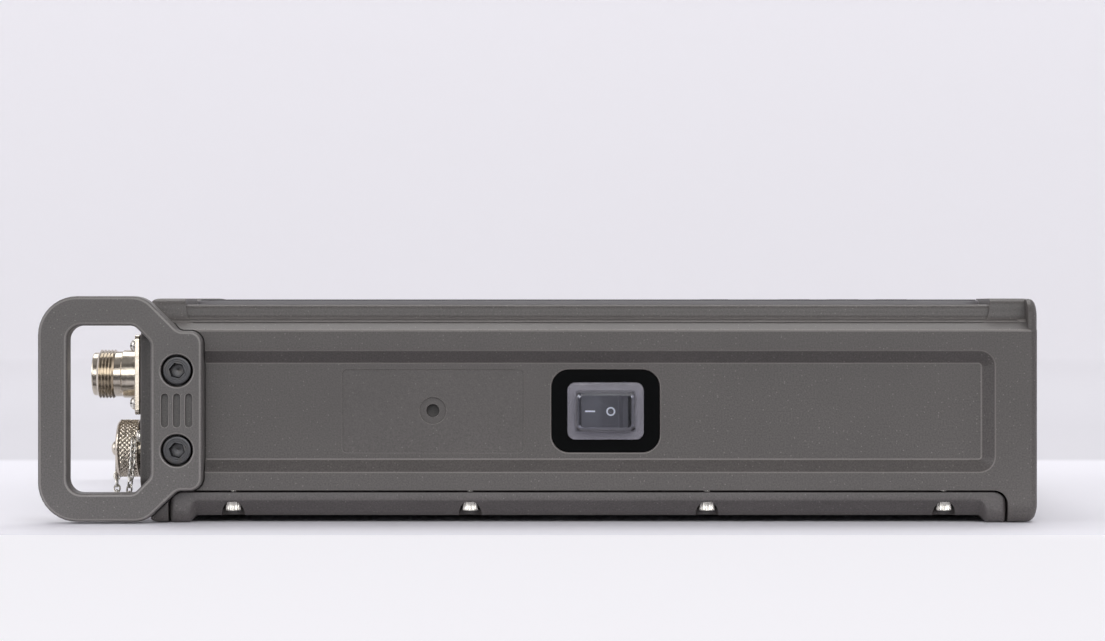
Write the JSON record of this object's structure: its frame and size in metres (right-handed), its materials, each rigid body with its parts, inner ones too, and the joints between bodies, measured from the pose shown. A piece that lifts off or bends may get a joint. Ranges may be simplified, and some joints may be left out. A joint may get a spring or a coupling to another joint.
{
  "type": "vector network analyzer",
  "caption": "Rugged portable network analyzer in a cast metal case, with touch display, keypad, loop handles, screw-on coaxial ports, capped port and sealed rocker switch.",
  "frame": {"origin": "centre of the footprint, on the surface the back cover's rails rest on", "axes": "+X from the connector end to the plain end, -Y the long side with the power switch, +Z out of the front panel"},
  "size_m": [0.312, 0.24, 0.0709],
  "materials": {
    "powder_coat": "fine-texture powder coat",
    "cover_coat": "fine-texture powder coat",
    "handle_coat": "fine-texture powder coat",
    "black_oxide_steel": "black oxide",
    "stainless_steel": "bright",
    "nickel_plate": "nickel plated",
    "gold_plate": "gold plated",
    "panel_plastic": "fine matt",
    "cover_glass": "polished",
    "display_frame": "plain",
    "soft_key_rubber": "matt",
    "key_rubber": "matt",
    "seal_rubber": "matt",
    "switch_black": "moulded",
    "switch_grey": "moulded",
    "boot_clear": "clear",
    "circuit_board": "solder mask",
    "shield_can": "plain",
    "battery_wrap": "shrink wrap",
    "coax_jacket": "copper"
  },
  "bodies": {
    "root": {"main_housing": "powder_coat", "connector_panel": "powder_coat", "back_cover": "cover_coat", "handle_left": "handle_coat", "handle_right": "handle_coat", "handle_screw_1": "black_oxide_steel", "handle_screw_2": "black_oxide_steel", "handle_screw_3": "black_oxide_steel", "handle_screw_4": "black_oxide_steel", "cover_screw_1": "stainless_steel", "cover_screw_2": "stainless_steel", "cover_screw_3": "stainless_steel", "cover_screw_4": "stainless_steel", "cover_screw_5": "stainless_steel", "cover_screw_6": "stainless_steel", "cover_screw_7": "stainless_steel", "cover_screw_8": "stainless_steel", "port1_screw_1": "stainless_steel", "port1_screw_2": "stainless_steel", "port1_screw_3": "stainless_steel", "port1_screw_4": "stainless_steel", "chain_screw": "stainless_steel", "port1_connector": "nickel_plate", "port2_connector": "nickel_plate", "port2_nut": "nickel_plate", "dust_cap_chain": "nickel_plate", "port1_contact": "gold_plate", "port2_contact": "gold_plate", "front_panel": "panel_plastic", "touch_glass": "cover_glass", "lcd_module": "display_frame", "keypad_mat": "key_rubber", "cover_gasket": "seal_rubber", "switch_surround": "switch_black", "switch_body": "switch_black", "socket_block": "switch_black", "switch_boot": "boot_clear", "main_board": "circuit_board", "rf_module": "shield_can", "battery_pack": "battery_wrap", "port1_coax": "coax_jacket", "port2_coax": "coax_jacket"},
    "soft_key_1": {"soft_key_1": "soft_key_rubber"},
    "soft_key_2": {"soft_key_2": "soft_key_rubber"},
    "soft_key_3": {"soft_key_3": "soft_key_rubber"},
    "soft_key_4": {"soft_key_4": "soft_key_rubber"},
    "soft_key_5": {"soft_key_5": "soft_key_rubber"},
    "soft_key_6": {"soft_key_6": "soft_key_rubber"},
    "menu_key_1": {"menu_key_1": "key_rubber"},
    "menu_key_2": {"menu_key_2": "key_rubber"},
    "menu_key_3": {"menu_key_3": "key_rubber"},
    "key_up": {"key_up": "key_rubber"},
    "key_down": {"key_down": "key_rubber"},
    "key_left": {"key_left": "key_rubber"},
    "key_right": {"key_right": "key_rubber"},
    "key_enter": {"key_enter": "key_rubber"},
    "switch_rocker": {"switch_rocker": "switch_grey"},
    "socket_door": {"socket_door": "seal_rubber"},
    "dust_cap_swivel": {"dust_cap_swivel": "nickel_plate"},
    "dust_cap_shell": {"dust_cap_shell": "nickel_plate"}
  },
  "joints": [
    {"name": "soft_key_1_press", "type": "slide", "parent": "root", "child": "soft_key_1", "axis": [0, 0, -1], "range_m": [0, 0.0008], "stiffness_N_per_m": 600, "springref_m": -0.0006},
    {"name": "soft_key_2_press", "type": "slide", "parent": "root", "child": "soft_key_2", "axis": [0, 0, -1], "range_m": [0, 0.0008], "stiffness_N_per_m": 600, "springref_m": -0.0006},
    {"name": "soft_key_3_press", "type": "slide", "parent": "root", "child": "soft_key_3", "axis": [0, 0, -1], "range_m": [0, 0.0008], "stiffness_N_per_m": 600, "springref_m": -0.0006},
    {"name": "soft_key_4_press", "type": "slide", "parent": "root", "child": "soft_key_4", "axis": [0, 0, -1], "range_m": [0, 0.0008], "stiffness_N_per_m": 600, "springref_m": -0.0006},
    {"name": "soft_key_5_press", "type": "slide", "parent": "root", "child": "soft_key_5", "axis": [0, 0, -1], "range_m": [0, 0.0008], "stiffness_N_per_m": 600, "springref_m": -0.0006},
    {"name": "soft_key_6_press", "type": "slide", "parent": "root", "child": "soft_key_6", "axis": [0, 0, -1], "range_m": [0, 0.0008], "stiffness_N_per_m": 600, "springref_m": -0.0006},
    {"name": "menu_key_1_press", "type": "slide", "parent": "root", "child": "menu_key_1", "axis": [0, 0, -1], "range_m": [0, 0.0008], "stiffness_N_per_m": 600, "springref_m": -0.0006},
    {"name": "menu_key_2_press", "type": "slide", "parent": "root", "child": "menu_key_2", "axis": [0, 0, -1], "range_m": [0, 0.0008], "stiffness_N_per_m": 600, "springref_m": -0.0006},
    {"name": "menu_key_3_press", "type": "slide", "parent": "root", "child": "menu_key_3", "axis": [0, 0, -1], "range_m": [0, 0.0008], "stiffness_N_per_m": 600, "springref_m": -0.0006},
    {"name": "key_up_press", "type": "slide", "parent": "root", "child": "key_up", "axis": [0, 0, -1], "range_m": [0, 0.0008], "stiffness_N_per_m": 600, "springref_m": -0.0006},
    {"name": "key_down_press", "type": "slide", "parent": "root", "child": "key_down", "axis": [0, 0, -1], "range_m": [0, 0.0008], "stiffness_N_per_m": 600, "springref_m": -0.0006},
    {"name": "key_left_press", "type": "slide", "parent": "root", "child": "key_left", "axis": [0, 0, -1], "range_m": [0, 0.0008], "stiffness_N_per_m": 600, "springref_m": -0.0006},
    {"name": "key_right_press", "type": "slide", "parent": "root", "child": "key_right", "axis": [0, 0, -1], "range_m": [0, 0.0008], "stiffness_N_per_m": 600, "springref_m": -0.0006},
    {"name": "key_enter_press", "type": "slide", "parent": "root", "child": "key_enter", "axis": [0, 0, -1], "range_m": [0, 0.0008], "stiffness_N_per_m": 600, "springref_m": -0.0006},
    {"name": "rocker_tilt", "type": "hinge", "parent": "root", "child": "switch_rocker", "pos_m": [0.0209, -0.1105, 0.0349], "axis": [0, 0, 1], "range_deg": [0, 20]},
    {"name": "door_swing", "type": "hinge", "parent": "root", "child": "socket_door", "pos_m": [-0.1264, 0.045, 0.017], "axis": [0, -1, 0], "range_deg": [0, 120]},
    {"name": "cap_travel", "type": "slide", "parent": "root", "child": "dust_cap_swivel", "axis": [-1, 0, 0], "range_m": [0, 0.006]},
    {"name": "cap_turn", "type": "hinge", "parent": "dust_cap_swivel", "child": "dust_cap_shell", "pos_m": [-0.132, -0.089, 0.0221], "axis": [-1, 0, 0], "range_deg": [0, 1980]}
  ],
  "couplings": [
    {"joint": "cap_travel", "follows": "cap_turn", "m_per_rad": 0.00016843}
  ]
}
